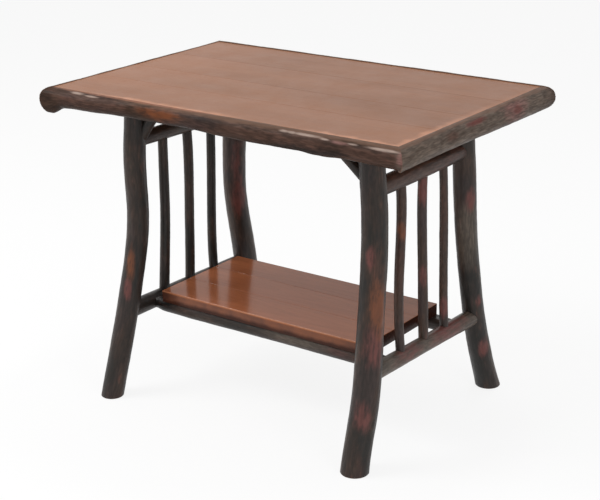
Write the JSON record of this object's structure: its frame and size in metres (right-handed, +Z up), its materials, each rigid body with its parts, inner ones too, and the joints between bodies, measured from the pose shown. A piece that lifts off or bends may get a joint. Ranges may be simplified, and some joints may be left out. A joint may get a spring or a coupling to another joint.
{
  "type": "rustic hickory table",
  "caption": "Rustic side table: board top edged with bark-on half-round saplings, bent hickory legs, railed ends with spindles and a low board shelf.",
  "frame": {"origin": "on the floor under the middle of the table top", "axes": "+X runs along the long side of the top to the right, +Y from the front to the back, +Z up; the front is the long side nearest the camera"},
  "size_m": [0.953, 0.645, 0.738],
  "materials": {
    "top_wood": "satin varnish on brown stained hardwood boards",
    "shelf_wood": "glossy varnish on red-brown stained hardwood boards",
    "plain_wood": "bare sawn hardwood",
    "bark": "dark brown-grey hickory bark under a thin varnish, worn to red-brown in places",
    "steel": "dull steel nails and screws"
  },
  "bodies": {
    "root": {"top_board_1": "top_wood", "top_board_2": "top_wood", "top_board_3": "top_wood", "top_board_4": "top_wood", "top_edging_front": "bark", "top_edging_back": "bark", "top_edging_left": "bark", "top_edging_right": "bark", "top_batten_left": "plain_wood", "top_batten_right": "plain_wood", "leg_front_left": "bark", "leg_front_right": "bark", "leg_back_right": "bark", "leg_back_left": "bark", "upper_rail_left": "bark", "upper_rail_right": "bark", "lower_rail_left": "bark", "lower_rail_right": "bark", "spindle_left_front": "bark", "spindle_left_middle": "bark", "spindle_left_back": "bark", "spindle_right_front": "bark", "spindle_right_middle": "bark", "spindle_right_back": "bark", "shelf_stretcher_front": "bark", "shelf_stretcher_back": "bark", "shelf_board_1": "shelf_wood", "shelf_board_2": "shelf_wood", "shelf_board_3": "shelf_wood", "brace_front_left": "bark", "brace_front_right": "bark", "brace_back_right": "bark", "brace_back_left": "bark", "edging_nails": "steel", "batten_screws": "steel", "tenon_nails": "steel", "brace_nails": "steel", "shelf_screws": "steel"}
  },
  "joints": []
}
